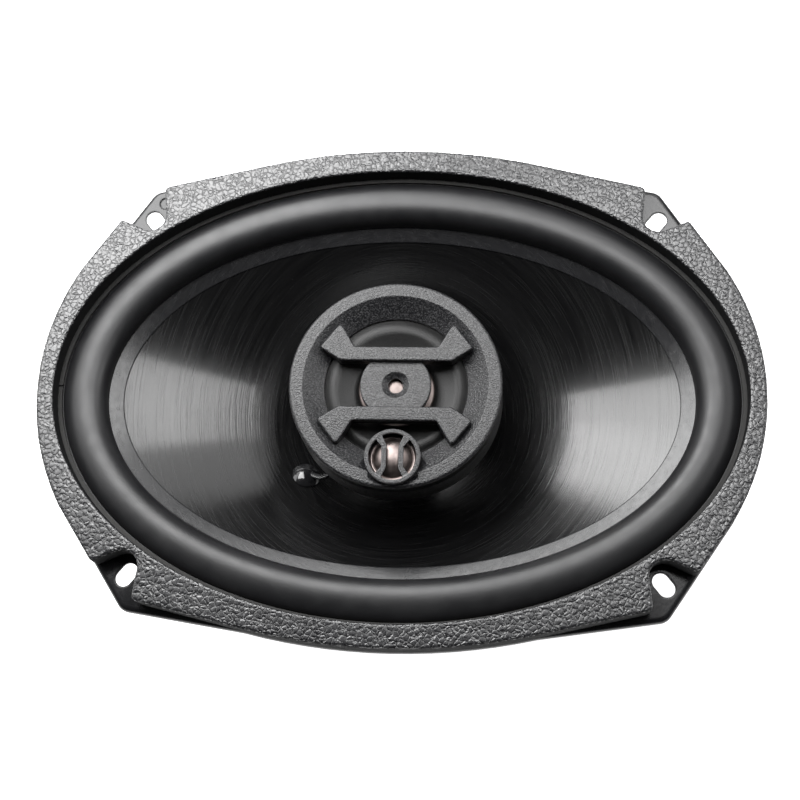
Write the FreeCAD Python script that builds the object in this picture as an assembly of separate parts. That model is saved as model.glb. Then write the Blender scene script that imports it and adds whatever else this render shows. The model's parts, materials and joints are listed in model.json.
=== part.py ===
import FreeCAD, Part
import math
import os

# Oval three-way coaxial car speaker, in millimetres.
# X is the long axis of the oval, Y the short axis, and +Z the way the cone fires.
# Z = 0 is the mounting plane: the lower edge of the flange's turned-down rim.

# ---- flange and gasket (plan sizes are half sizes) ----
FLANGE_X, FLANGE_Y = 117.7, 83.6
SIDE_END = (106.5, 41.0)
TOP_END = (45.9, 78.3)
TAB_CORNER = (85.6, 72.2)
TAB_RADIUS = 5.0
SHEET = 1.0
FLANGE_TOP = 2.8
FLANGE_EDGE_RADIUS = 1.7
SLOT_CENTRE = (84.6, 60.8)
SLOT_ANGLE = 51.0
SLOT_WIDTH, SLOT_LENGTH = 5.4, 8.2
DIMPLE = (-81.8, 67.6)
DIMPLE_R, DIMPLE_DEPTH = 2.1, 0.4

GASKET_INSET = 0.3
GASKET_TOP = 11.2
GASKET_HOLE_X, GASKET_HOLE_Y = 112.0, 75.7
NOTCH_OUTER = (94.4, 58.1)
NOTCH_INNER = (78.4, 51.3)
NOTCH_TOP = (80.6, 69.9)
NOTCH_RADIUS = 5.1

# ---- surround, clamp ring and woofer cone ----
SURROUND_SHEET = 0.7
CLAMP_TOP = 4.7
ROLL_OUT_X, ROLL_OUT_Y = 110.5, 74.3
ROLL_IN_X, ROLL_IN_Y = 96.4, 60.4
ROLL_HEIGHT, ROLL_LEAN = 6.0, 1.3
LIP_TOP = -0.7
CONE_X, CONE_Y = 91.8, 55.7
CONE_EDGE_Z = -2.6
CONE_NECK_Z = -33.0
CONE_SHEET = 0.9
CONE_FLARE = 0.92

# ---- basket ----
WALL_X, WALL_Y = 110.6, 74.4
WALL_FOOT_Z = -7.0
BOWL_X, BOWL_Y, BOWL_TOP_Z = 105.0, 68.8, -10.0
SHELF_R, SHELF_Z = 48.0, -41.0
POCKET_R, POCKET_Z = 40.5, -49.0
COIL_HOLE_R = 16.0
WINDOW_OUT = (99.0, 65.0)
WINDOW_IN = (56.0, 50.5)
SPOKES = [(0, 12.0), (40, 11.0), (90, 12.0), (140, 11.0), (180, 14.0), (220, 11.0), (270, 12.0), (320, 11.0)]

# ---- motor ----
PLATE_R, PLATE_H = 38.0, 6.0
MAGNET_R, MAGNET_HOLE_R, MAGNET_H = 43.0, 20.0, 15.0
YOKE_R, YOKE_H = 40.0, 6.0
GAP_R = 14.1
POLE_R = 12.1
FORMER_IN, FORMER_OUT = 12.7, 13.0
COIL_R = 13.6
COIL_Z = (-59.0, -47.0)
BOLT_R, BOLT_HOLE_R = 2.5, 2.7

# ---- centre module ----
MODULE_R = 34.2
MODULE_TOP = 14.9
ANNULUS_IN = 29.8
SLOPE_IN_R, SLOPE_IN_Z = 23.1, 10.9
SPLIT_Z = 9.0
CUP_BOTTOM_Z = -13.5
POST_R = 7.0
POD_CENTRE = (0.0, -24.4)
POD_R = 8.9
POD_TOP, POD_BOTTOM = 17.2, 11.2
FRAME_Z = 8.9
MID_DOME_R = 12.3
DISC_R, DISC_TOP = 11.4, 13.6
BAR_TOP, BAR_BOTTOM = 15.4, 11.4
BAR_IN_X, BAR_IN_Y = 18.0, 7.6
BAR_OUT_Y, BAR_NECK_X = 12.3, 13.4
BAR_TIP, BAR_HORN = (24.7, 12.0), (18.2, 20.4)
BAR_CORNER_RADIUS = 1.0
CAPACITOR_R, CAPACITOR_LENGTH = 25.0, 13.0
RIB_X, RIB_WIDTH = 2.7, 1.6

# ---- terminals and leads ----
TERMINAL_X = 74.0
PAD_TOP, BOARD_TOP = 1.0, 2.6
BLADE_Y = 6.5
RIVET_R = 1.3
EYELET = (-30.9, 21.9)
REAR_LEAD = [(-63.2, 8.0, -37.4), (-60.5, 10.5, -34.0), (-56.0, 14.5, -30.5), (-49.0, 18.0, -28.5),
             (-41.0, 20.5, -27.5), (-35.0, 21.8, -25.5), (-31.6, 22.1, -21.6)]
FRONT_LEAD = [(-30.0, 21.6, -19.0), (-27.7, 23.5, -15.8), (-24.3, 24.0, -12.8), (-21.7, 22.0, -10.4),
              (-20.6, 19.9, -8.3)]

PLATE_Z = POCKET_Z - SHEET
MAGNET_Z = PLATE_Z - PLATE_H
YOKE_Z = MAGNET_Z - MAGNET_H
BACK_Z = YOKE_Z - YOKE_H


def vec(x, y, z=0.0):
    return FreeCAD.Vector(x, y, z)


def rod(radius, z0, z1, x=0.0, y=0.0):
    return Part.makeCylinder(radius, z1 - z0, vec(x, y, z0))


def tube(outer, inner, z0, z1):
    return rod(outer, z0, z1).cut(rod(inner, z0, z1))


def oval(a, b, z):
    """Closed oval wire of half sizes a and b at height z."""
    if abs(a - b) < 1e-6:
        return Part.Circle(vec(0, 0, z), vec(0, 0, 1), a).toShape()
    return Part.Ellipse(vec(0, 0, z), a, b).toShape()


def ring_solid(rings):
    """Solid whose section is the closed polygon of (a, b, z) ovals."""
    edges = [oval(*ring) for ring in rings]
    faces = [Part.makeRuledSurface(one, two) for one, two in zip(edges, edges[1:] + edges[:1])]
    solid = Part.Solid(Part.Shell(faces))
    if solid.Volume < 0:
        solid.reverse()
    return solid


def oval_prism(a, b, z0, z1):
    face = Part.Face(Part.Wire([oval(a, b, z0)]))
    return face.extrude(vec(0, 0, z1 - z0))


def turned(points):
    """Solid of revolution about Z from a closed (radius, z) polygon."""
    corners = [vec(r, 0, z) for r, z in points]
    face = Part.Face(Part.makePolygon(corners + corners[:1]))
    return face.revolve(vec(0, 0), vec(0, 0, 1), 360)


def prism(points, z0, z1):
    corners = [vec(x, y, z0) for x, y in points]
    face = Part.Face(Part.makePolygon(corners + corners[:1]))
    return face.extrude(vec(0, 0, z1 - z0))


def save(name, *solids):
    shape = solids[0] if len(solids) == 1 else Part.makeCompound(list(solids))
    shape.exportStep("parts/" + name + ".step")
    print("%-24s solids %2d  volume %10.1f  valid %s" % (name, len(shape.Solids), shape.Volume, shape.isValid()))


def end_arc(apex, end):
    """Arc from an apex on an axis to a point, as part of a circle centred on that axis."""
    along_x = apex.y == 0
    rise = end.y if along_x else end.x
    sag = apex.x - end.x if along_x else apex.y - end.y
    radius = (rise * rise + sag * sag) / (2 * sag)
    half = math.asin(rise / radius) / 2
    back = radius * (1 - math.cos(half))
    side = radius * math.sin(half)
    middle = vec(apex.x - back, side) if along_x else vec(side, apex.y - back)
    return Part.Arc(apex, middle, end).toShape()


def corner_arc(before, corner, after, radius):
    """Tangent points of a rounded corner, and the arc between them."""
    back = (before - corner).normalize()
    on = (after - corner).normalize()
    half = back.getAngle(on) / 2
    reach = radius / math.tan(half)
    start = corner + back * reach
    end = corner + on * reach
    bisector = (back + on).normalize()
    middle = corner + bisector * (radius / math.sin(half) - radius)
    return start, Part.Arc(start, middle, end).toShape(), end


def quarter_outline(apex_x, side_end, corners, top_end, apex_y):
    """Outline of one quarter, from the +X apex to the +Y apex, with rounded corners between."""
    first, last = vec(*side_end), vec(*top_end)
    points = [first] + [vec(x, y) for x, y, radius in corners] + [last]
    edges = [end_arc(vec(apex_x, 0), first)]
    position = first
    for index, (x, y, radius) in enumerate(corners, 1):
        start, arc, end = corner_arc(points[index - 1], points[index], points[index + 1], radius)
        edges.append(Part.LineSegment(position, start).toShape())
        edges.append(arc)
        position = end
    edges.append(Part.LineSegment(position, last).toShape())
    edges.append(end_arc(vec(0, apex_y), last))
    return edges


def whole_outline(quarter):
    """The quarter mirrored about both axes, as one closed wire."""
    half = quarter + [edge.mirror(vec(0, 0), vec(1, 0)) for edge in quarter]
    edges = half + [edge.mirror(vec(0, 0), vec(0, 1)) for edge in half]
    return Part.Wire(Part.__sortEdges__(edges))


def four_ways(make):
    return [make(sx, sy) for sx in (1, -1) for sy in (1, -1)]


def slot_cutter(sx, sy):
    """Round-ended slot that points at the middle of the speaker."""
    half = (SLOT_LENGTH - SLOT_WIDTH) / 2
    radius = SLOT_WIDTH / 2
    slot = Part.makeBox(2 * half, SLOT_WIDTH, 10, vec(-half, -radius, -3))
    for end in (-half, half):
        slot = slot.fuse(rod(radius, -3, 7, end, 0))
    slot.rotate(vec(0, 0), vec(0, 0, 1), SLOT_ANGLE * sx * sy)
    slot.translate(vec(SLOT_CENTRE[0] * sx, SLOT_CENTRE[1] * sy))
    return slot


def flange():
    """Flat stamped flange with four tabs, a turned-down rim and one locating dimple."""
    corner = [(TAB_CORNER[0], TAB_CORNER[1], TAB_RADIUS)]
    wire = whole_outline(quarter_outline(FLANGE_X, SIDE_END, corner, TOP_END, FLANGE_Y))
    outer = Part.Face(wire)
    plate = outer.extrude(vec(0, 0, FLANGE_TOP))
    rim = [edge for edge in plate.Edges if edge.BoundBox.ZMin > FLANGE_TOP - 0.01]
    plate = plate.makeFillet(FLANGE_EDGE_RADIUS, rim)
    hollow = outer.makeOffset2D(-SHEET).extrude(vec(0, 0, FLANGE_TOP - SHEET))
    top = [edge for edge in hollow.Edges if edge.BoundBox.ZMin > FLANGE_TOP - SHEET - 0.01]
    hollow = hollow.makeFillet(FLANGE_EDGE_RADIUS - SHEET, top)
    plate = plate.cut(hollow).cut(oval_prism(WALL_X, WALL_Y, -1, 5))
    for cutter in four_ways(slot_cutter):
        plate = plate.cut(cutter)
    return plate.cut(rod(DIMPLE_R, FLANGE_TOP - DIMPLE_DEPTH, FLANGE_TOP + 1, *DIMPLE))


def bowl():
    """Oval wall, sloping spokes, spider shelf and coil pocket, one sheet thick."""
    inside = [(WALL_X, WALL_Y, FLANGE_TOP), (WALL_X, WALL_Y, WALL_FOOT_Z), (BOWL_X, BOWL_Y, BOWL_TOP_Z),
              (SHELF_R, SHELF_R, SHELF_Z), (POCKET_R, POCKET_R, SHELF_Z), (POCKET_R, POCKET_R, POCKET_Z),
              (COIL_HOLE_R, COIL_HOLE_R, POCKET_Z)]
    step = SHEET
    outside = [(COIL_HOLE_R, COIL_HOLE_R, POCKET_Z - step), (POCKET_R + step, POCKET_R + step, POCKET_Z - step),
               (POCKET_R + step, POCKET_R + step, SHELF_Z - step), (SHELF_R + 0.4, SHELF_R + 0.4, SHELF_Z - step),
               (BOWL_X + 0.5, BOWL_Y + 0.5, BOWL_TOP_Z - step), (WALL_X + step, WALL_Y + step, WALL_FOOT_Z - 0.6),
               (WALL_X + step, WALL_Y + step, FLANGE_TOP)]
    return ring_solid(inside + outside)


def windows():
    """Cutter for the openings between the spokes."""
    ring = oval_prism(*WINDOW_OUT, -60, BOWL_TOP_Z + 4).cut(oval_prism(*WINDOW_IN, -60, BOWL_TOP_Z + 4))
    for angle, width in SPOKES:
        spoke = Part.makeBox(130, width, 80, vec(0, -width / 2, -70))
        spoke.rotate(vec(0, 0), vec(0, 0, 1), angle)
        ring = ring.cut(spoke)
    upright = [edge for edge in ring.Edges if edge.BoundBox.ZLength > 40 and edge.BoundBox.XLength < 0.01]
    return ring.makeFillet(3.0, upright)


def gasket():
    """Tall front gasket, notched at the four tabs and rebated over the clamp ring."""
    inset = GASKET_INSET
    corners = [(NOTCH_OUTER[0], NOTCH_OUTER[1], 1.2), (NOTCH_INNER[0], NOTCH_INNER[1], NOTCH_RADIUS),
               (NOTCH_TOP[0], NOTCH_TOP[1], 2.0)]
    side = (SIDE_END[0] - inset, SIDE_END[1] - inset)
    top = (TOP_END[0], TOP_END[1] - inset)
    wire = whole_outline(quarter_outline(FLANGE_X - inset, side, corners, top, FLANGE_Y - inset))
    body = Part.Face(wire).extrude(vec(0, 0, GASKET_TOP - FLANGE_TOP))
    body.translate(vec(0, 0, FLANGE_TOP))
    rebate = oval_prism(GASKET_HOLE_X + 2.2, GASKET_HOLE_Y + 2.2, 0, CLAMP_TOP)
    return body.cut(oval_prism(GASKET_HOLE_X, GASKET_HOLE_Y, 0, 20)).cut(rebate)


def clamp_ring():
    """Card ring that holds the surround's edge, with a butt joint at the -X end."""
    low = FLANGE_TOP + SURROUND_SHEET
    ring = oval_prism(GASKET_HOLE_X + 2.2, GASKET_HOLE_Y + 2.2, low, CLAMP_TOP)
    ring = ring.cut(oval_prism(ROLL_OUT_X + 0.3, ROLL_OUT_Y + 0.3, low, CLAMP_TOP))
    return ring.cut(Part.makeBox(12, 0.5, 8, vec(-120, 1.0, 0)))


def surround():
    """Half-roll rubber edge between the clamp ring and the cone's lip."""
    steps = 10
    edge_top = FLANGE_TOP + SURROUND_SHEET
    width = ROLL_OUT_X - ROLL_IN_X
    roll = []
    for index in range(steps + 1):
        share = index / steps
        arch = ROLL_HEIGHT * math.sin(math.pi * share ** ROLL_LEAN) ** 0.8 if 0 < share < 1 else 0.0
        reach = width * (1 - math.cos(math.pi * share)) / 2
        height = edge_top + (LIP_TOP - edge_top) * share + arch
        roll.append((ROLL_OUT_X - reach, ROLL_OUT_Y - reach, height))
    lip = (CONE_X, CONE_Y, CONE_EDGE_Z)
    flat = (GASKET_HOLE_X + 2.2, GASKET_HOLE_Y + 2.2, edge_top)
    upper = [flat] + roll + [lip]
    lower = [(a, b, z - SURROUND_SHEET) for a, b, z in reversed(upper)]
    return ring_solid(upper + lower)


def cone_rings(drop):
    """Ovals of the cone's front surface from its edge to its neck, lowered by a drop."""
    rings = []
    for index in range(9):
        share = 1 - index / 8
        a = FORMER_OUT + (CONE_X - FORMER_OUT) * share
        b = FORMER_OUT + (CONE_Y - FORMER_OUT) * share
        z = CONE_NECK_Z + (CONE_EDGE_Z - CONE_NECK_Z) * share ** CONE_FLARE
        rings.append((a, b, z - drop))
    return rings


def woofer_cone():
    """Thin oval cone that carries the surround's lip on its edge."""
    lip_a, lip_b = ROLL_IN_X - 0.6, ROLL_IN_Y - 0.6
    slope = (LIP_TOP - CONE_EDGE_Z) / (ROLL_IN_X - CONE_X)
    lip_z = CONE_EDGE_Z + slope * (lip_a - CONE_X) - SURROUND_SHEET
    top = [(lip_a, lip_b, lip_z), (CONE_X, CONE_Y, CONE_EDGE_Z - SURROUND_SHEET)] + cone_rings(0)
    under = [(CONE_X, CONE_Y, CONE_EDGE_Z - SURROUND_SHEET - CONE_SHEET), (lip_a, lip_b, lip_z - CONE_SHEET)]
    lower = cone_rings(CONE_SHEET)[:0:-1]
    return ring_solid(top + lower + under)


def cone_height(x, y):
    """Height of the cone's front surface at a place in plan."""
    low, high = 0.0, 1.0
    for _ in range(40):
        share = (low + high) / 2
        a = FORMER_OUT + (CONE_X - FORMER_OUT) * share
        b = FORMER_OUT + (CONE_Y - FORMER_OUT) * share
        if (x / a) ** 2 + (y / b) ** 2 > 1:
            low = share
        else:
            high = share
    return CONE_NECK_Z + (CONE_EDGE_Z - CONE_NECK_Z) * share ** CONE_FLARE


def spider():
    """Corrugated cloth disc that centres the voice coil."""
    pitch, swing, sheet = 3.5, 0.9, 0.5
    middle = SHELF_Z + sheet
    count = int((SHELF_R - 6 - FORMER_OUT - 2) / pitch)
    start = SHELF_R - 6 - count * pitch

    def waves(level, reverse):
        edges = []
        for index in range(count):
            left = start + index * pitch
            height = swing if index % 2 == 0 else -swing
            ends = [vec(left, 0, level), vec(left + pitch / 2, 0, level + height), vec(left + pitch, 0, level)]
            edges.append(Part.Arc(*(ends[::-1] if reverse else ends)).toShape())
        return edges[::-1] if reverse else edges

    inner, outer = FORMER_OUT, SHELF_R - 1.0
    low = middle - sheet
    top_line = Part.LineSegment(vec(inner, 0, middle), vec(start, 0, middle)).toShape()
    rim = Part.makePolygon([vec(start + count * pitch, 0, middle), vec(outer, 0, middle), vec(outer, 0, low),
                            vec(start + count * pitch, 0, low)]).Edges
    back = Part.makePolygon([vec(start, 0, low), vec(inner, 0, low), vec(inner, 0, middle)]).Edges
    wire = Part.Wire([top_line] + waves(middle, False) + rim + waves(low, True) + back)
    return Part.Face(wire).revolve(vec(0, 0), vec(0, 0, 1), 360)


def dome(radius, height, sheet, z):
    """Thin round cap."""
    def cap(r, h):
        ball = (r * r + h * h) / (2 * h)
        sphere = Part.makeSphere(ball, vec(0, 0, z + h - ball))
        return sphere.common(rod(radius + 5, z, z + height + 5))
    return cap(radius, height).cut(cap(radius - sheet, height - sheet))


def cord(name, points, diameter):
    """Round lead along straight runs joined by tangent arcs."""
    corners = [vec(*point) for point in points]
    edges = []
    position = corners[0]
    length = 0.0
    radii = []
    for before, corner, after in zip(corners, corners[1:], corners[2:]):
        back, on = before - corner, after - corner
        half = back.getAngle(on) / 2
        radius = 0.45 * min(back.Length, on.Length) * math.tan(half)
        start, arc, end = corner_arc(before, corner, after, radius)
        edges += [Part.LineSegment(position, start).toShape(), arc]
        length += (start - position).Length + arc.Length
        radii.append(radius)
        position = end
    edges.append(Part.LineSegment(position, corners[-1]).toShape())
    length += (corners[-1] - position).Length
    start = Part.Circle(corners[0], corners[1] - corners[0], diameter / 2).toShape()
    tube_solid = Part.Wire(edges).makePipeShell([Part.Wire([start])], True, False)
    ratio = tube_solid.Volume / (length * math.pi * diameter ** 2 / 4)
    print("%-24s length %.1f  volume ratio %.4f  radii %s" % (name, length, ratio, [round(r, 1) for r in radii]))
    return tube_solid


def magnet():
    c = 0.8
    return turned([(MAGNET_HOLE_R, YOKE_Z), (MAGNET_R - c, YOKE_Z), (MAGNET_R, YOKE_Z + c), (MAGNET_R, MAGNET_Z - c),
                   (MAGNET_R - c, MAGNET_Z), (MAGNET_HOLE_R, MAGNET_Z)])


def motor():
    """Top plate, ring magnet, back plate with pole, and what holds them together."""
    plate = tube(PLATE_R, GAP_R, MAGNET_Z, PLATE_Z)
    yoke = turned([(BOLT_HOLE_R, BACK_Z + 4.5), (6, BACK_Z + 4.5), (6, BACK_Z), (YOKE_R - 1.5, BACK_Z),
                   (YOKE_R, BACK_Z + 1.5), (YOKE_R, YOKE_Z), (POLE_R + 1.5, YOKE_Z), (POLE_R, YOKE_Z + 1.5),
                   (POLE_R, PLATE_Z), (BOLT_HOLE_R, PLATE_Z)])
    rivets = []
    holes = []
    for quarter in range(4):
        angle = math.radians(45 + 90 * quarter)
        x, y = 29 * math.cos(angle), 29 * math.sin(angle)
        head = turned([(0, POCKET_Z), (3.2, POCKET_Z), (2.8, POCKET_Z + 0.8), (1.5, POCKET_Z + 1.2),
                       (0, POCKET_Z + 1.2)])
        head.translate(vec(x, y))
        shank = rod(1.8, PLATE_Z - 3, POCKET_Z, x, y)
        holes.append(shank)
        rivets.append(head.fuse(shank).removeSplitter())
    for hole in holes:
        plate = plate.cut(hole)
    save("top_plate", plate)
    save("magnet_ring", magnet())
    save("pole_yoke", yoke)
    save("basket_rivets", *rivets)
    return holes


def module_shells():
    """Front trim ring and the cup behind it, which meet at a split line."""
    pocket = rod(POD_R, POD_BOTTOM, POD_TOP + 1, *POD_CENTRE)
    ring = turned([(MODULE_R, SPLIT_Z), (MODULE_R, MODULE_TOP - 0.6), (MODULE_R - 0.6, MODULE_TOP),
                   (ANNULUS_IN + 0.4, MODULE_TOP), (ANNULUS_IN, MODULE_TOP - 0.4), (SLOPE_IN_R, SLOPE_IN_Z),
                   (SLOPE_IN_R, SLOPE_IN_Z - 0.5), (SLOPE_IN_R + 1.4, SLOPE_IN_Z - 0.5), (30.5, 12.9),
                   (32.0, 12.9), (32.0, SPLIT_Z)])
    wall = MODULE_R - 2.0
    cup = turned([(BOLT_HOLE_R, CUP_BOTTOM_Z), (24, CUP_BOTTOM_Z), (MODULE_R, -2), (MODULE_R, SPLIT_Z),
                  (wall, SPLIT_Z), (wall, FRAME_Z), (29.5, FRAME_Z), (29.5, FRAME_Z - 1.5), (wall, FRAME_Z - 4),
                  (wall, -1.2), (23.1, CUP_BOTTOM_Z + 2), (BOLT_HOLE_R, CUP_BOTTOM_Z + 2)])
    return ring.cut(pocket), cup


def grille_bar(side):
    """One bar with two pointed feet; side is +1 for the upper bar."""
    half = [(0, BAR_IN_Y), (BAR_IN_X, BAR_IN_Y), BAR_TIP, BAR_HORN, (BAR_NECK_X, BAR_OUT_Y), (0, BAR_OUT_Y)]
    points = half + [(-x, y) for x, y in reversed(half[1:-1])]
    bar = prism([(x, y * side) for x, y in points], BAR_BOTTOM, BAR_TOP)
    upright = [edge for edge in bar.Edges if edge.BoundBox.ZLength > 1 and abs(edge.BoundBox.XMin) > 1]
    bar = bar.makeFillet(BAR_CORNER_RADIUS, upright)
    upper = [edge for edge in bar.Edges if edge.BoundBox.ZMin > BAR_TOP - 0.01]
    return bar.makeChamfer(0.35, upper)


def midrange_grille():
    """Two bars joined by a disc with a countersunk hole over the dome."""
    under_slope = turned([(SLOPE_IN_R, 0), (40, 0), (40, MODULE_TOP - 0.4), (ANNULUS_IN, MODULE_TOP - 0.4),
                          (SLOPE_IN_R, SLOPE_IN_Z)])
    disc = turned([(2.45, DISC_TOP - 1.6), (DISC_R, DISC_TOP - 1.6), (DISC_R, DISC_TOP), (4.4, DISC_TOP),
                   (2.45, DISC_TOP - 1.2)])
    grille = grille_bar(1).fuse(grille_bar(-1)).fuse(disc)
    return grille.cut(under_slope).removeSplitter()


def midrange():
    """Midrange driver from its frame at the front to its yoke at the back."""
    save("midrange_frame", turned([(12.5, 4.5), (16.5, 4.5), (24, FRAME_Z), (31.8, FRAME_Z), (31.8, FRAME_Z + 1),
                                   (23.5, FRAME_Z + 1), (16.0, 5.5), (12.5, 5.5)]))
    save("midrange_top_plate", tube(17, 11, 2.5, 4.5))
    save("midrange_magnet", tube(19, 13, -3.5, 2.5))
    save("midrange_yoke", turned([(0, -6), (17, -6), (17, -3.5), (9.2, -3.5), (9.2, 4.5), (0, 4.5)]))
    save("midrange_coil", tube(9.95, 9.6, -1.0, 6.6), tube(10.5, 9.95, 0.5, 5.6))
    sheet = 0.5
    neck_r, neck_z = 9.95, 6.6
    rim_r, rim_z = 22.6, 10.5
    cone = turned([(neck_r, neck_z), (rim_r, rim_z), (rim_r, rim_z - sheet), (neck_r, neck_z - sheet)])
    low, high = FRAME_Z + 1, FRAME_Z + 1.25
    edge = turned([(rim_r, rim_z), (22.8, high), (27.5, high), (27.5, low), (22.8, low), (rim_r, rim_z - sheet)])
    below = turned([(0, 0), (rim_r, 0), (rim_r, rim_z), (neck_r, neck_z), (0, neck_z)])
    dome_z = neck_z + (MID_DOME_R - neck_r) * (rim_z - neck_z) / (rim_r - neck_r)
    save("midrange_cone", cone)
    save("midrange_surround", edge)
    save("midrange_dome", dome(MID_DOME_R, 3.4, 0.3, dome_z).cut(below))


def tweeter():
    """Tweeter pod, its grille and the small driver inside it."""
    floor = POD_BOTTOM + 0.4
    wall = POD_R - 1.0
    grille_z = POD_TOP - 1.0
    pod = turned([(0, POD_BOTTOM), (POD_R, POD_BOTTOM), (POD_R, grille_z), (wall, grille_z), (wall, floor),
                  (0, floor)])
    inner = wall - 0.4
    grille = turned([(inner, grille_z), (POD_R, grille_z), (POD_R, POD_TOP - 0.3), (POD_R - 0.3, POD_TOP),
                     (inner + 0.2, POD_TOP), (inner, POD_TOP - 0.2)])
    for side in (-1, 1):
        grille = grille.fuse(grille_rib(side, grille_z).common(rod(wall, 0, 20)))
    yoke = turned([(0, floor), (7.6, floor), (7.6, floor + 1.7), (6.9, floor + 1.7), (6.9, floor + 0.5),
                   (0, floor + 0.5)])
    pieces = {"tweeter_pod": [pod], "tweeter_grille": [grille.removeSplitter()], "tweeter_yoke": [yoke],
              "tweeter_magnet": [rod(5.2, floor + 0.5, floor + 1.2)],
              "tweeter_top_plate": [rod(5.4, floor + 1.2, floor + 1.7)],
              "tweeter_coil": [tube(6.1, 5.9, floor + 0.9, floor + 2.0), tube(6.45, 6.1, floor + 0.9, floor + 1.7)]}
    edge = tube(7.6, 5.9, floor + 2.0, floor + 2.2)
    pieces["tweeter_dome"] = [dome(6.35, 1.9, 0.25, floor + 2.2).fuse(edge)]
    for name, solids in pieces.items():
        for solid in solids:
            solid.translate(vec(*POD_CENTRE))
        save(name, *solids)


def grille_rib(side, z):
    """Upright rib that splays outwards at both ends."""
    half = RIB_WIDTH / 2
    inner = [(RIB_X - half, 0), (RIB_X - half, 3.3), (RIB_X + 0.6, 6.0), (RIB_X + 1.4, 9)]
    outer = [(RIB_X + 5.0, 9), (RIB_X + 3.1, 6.0), (RIB_X + half, 3.6), (RIB_X + half, 0)]
    upper = inner + outer
    lower = [(px, -py) for px, py in reversed(upper) if py > 0]
    return prism([(side * px, py) for px, py in upper + lower], z, z + 0.9)


def post():
    """Post, through bolt and nut that hold the module to the pole."""
    save("module_post", turned([(BOLT_HOLE_R, PLATE_Z), (POST_R, PLATE_Z), (POST_R, -16), (11, CUP_BOTTOM_Z - 1.5),
                                (11, CUP_BOTTOM_Z), (BOLT_HOLE_R, CUP_BOTTOM_Z)]))
    washer_z = BACK_Z + 4.5
    save("post_washer", tube(5.4, BOLT_HOLE_R, washer_z - 1.0, washer_z))
    head = turned([(0, washer_z - 4.0), (3.6, washer_z - 4.0), (4.6, washer_z - 3.2), (4.6, washer_z - 1.0),
                   (0, washer_z - 1.0)])
    cross = Part.makeBox(5.2, 1.1, 2, vec(-2.6, -0.55, washer_z - 4.2))
    other = Part.makeBox(1.1, 5.2, 2, vec(-0.55, -2.6, washer_z - 4.2))
    save("post_bolt", head.fuse(rod(BOLT_R, washer_z - 1.0, -6.8)).cut(cross).cut(other).removeSplitter())
    nut_z = CUP_BOTTOM_Z + 2
    hexagon = [(4.6 * math.cos(math.radians(60 * i)), 4.6 * math.sin(math.radians(60 * i))) for i in range(6)]
    save("post_nut", prism(hexagon, nut_z, nut_z + 4).cut(rod(BOLT_R, nut_z, nut_z + 4)))


def on_spoke(shape):
    """Place a shape from the terminal's own frame on the outside of the -X spoke."""
    slope = math.degrees(math.atan2(BOWL_TOP_Z - SHELF_Z, BOWL_X - SHELF_R))
    moved = shape.copy()
    moved.rotate(vec(0, 0), vec(1, 0), 180)
    moved.rotate(vec(0, 0), vec(0, 0, 1), 180)
    moved.rotate(vec(0, 0), vec(0, 1, 0), slope)
    moved.translate(vec(-TERMINAL_X, 0, terminal_z()))
    return moved


def terminal_z():
    """Height of the spoke's outer face at the terminal."""
    share = (TERMINAL_X - SHELF_R - 0.4) / (BOWL_X + 0.5 - SHELF_R - 0.4)
    return SHELF_Z - SHEET + share * (BOWL_TOP_Z - SHELF_Z)


def box(x0, x1, y0, y1, z0, z1):
    return Part.makeBox(x1 - x0, y1 - y0, z1 - z0, vec(x0, y0, z0))


def blade(width, y):
    """Push-on terminal blade with a solder lug, a rivet hole and a latch hole."""
    half = width / 2
    outline = [(-14, -1.5), (-5, -1.5), (-3.5, -half), (14.8, -half), (16, -half + 1.2), (16, half - 1.2),
               (14.8, half), (-3.5, half), (-5, 1.5), (-14, 1.5)]
    part = prism([(px, py + y) for px, py in outline], BOARD_TOP, BOARD_TOP + 0.8)
    part = part.cut(rod(RIVET_R, BOARD_TOP, BOARD_TOP + 1, 0, y))
    return part.cut(rod(0.9, BOARD_TOP, BOARD_TOP + 1, 12, y))


def terminals():
    """Terminal board on its spoke, its rivets, and two blades of unlike width, which it returns."""
    sites = [(0, BLADE_Y), (0, -BLADE_Y), (8.5, 0)]
    board = box(-10, 12, -11.5, 11.5, PAD_TOP, BOARD_TOP)
    upright = [edge for edge in board.Edges if abs(edge.BoundBox.ZLength - (BOARD_TOP - PAD_TOP)) < 0.01]
    board = board.makeFillet(1.5, [edge for edge in upright if edge.BoundBox.XLength < 0.01
                                   and edge.BoundBox.YLength < 0.01])
    rivets = []
    for x, y in sites:
        board = board.cut(rod(RIVET_R, 0, 6, x, y))
        under, over = (PAD_TOP, BOARD_TOP + 0.8) if y else (-2.2, BOARD_TOP)
        rivet = rod(RIVET_R, under, over, x, y).fuse(rod(2.2, over, over + 0.7, x, y))
        if not y:
            rivet = rivet.fuse(rod(2.2, -2.2, -1.5, x, y))
        rivets.append(on_spoke(rivet.removeSplitter()))
    save("terminal_board", on_spoke(board))
    save("terminal_rivets", *rivets)
    blades = [on_spoke(blade(6.3, BLADE_Y)), on_spoke(blade(4.8, -BLADE_Y))]
    save("positive_blade", blades[0])
    save("negative_blade", blades[1])
    return blades


def basket(rivet_holes):
    """Stamped basket, with the flat pad that the terminal board is riveted to."""
    frame = flange().fuse(bowl()).cut(windows())
    frame = frame.fuse(on_spoke(box(-11, 12, -7, 7, -0.9, PAD_TOP)))
    frame = frame.cut(on_spoke(rod(RIVET_R, -5, 5, 8.5, 0)))
    for hole in rivet_holes:
        frame = frame.cut(hole)
    return frame.removeSplitter()


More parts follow.
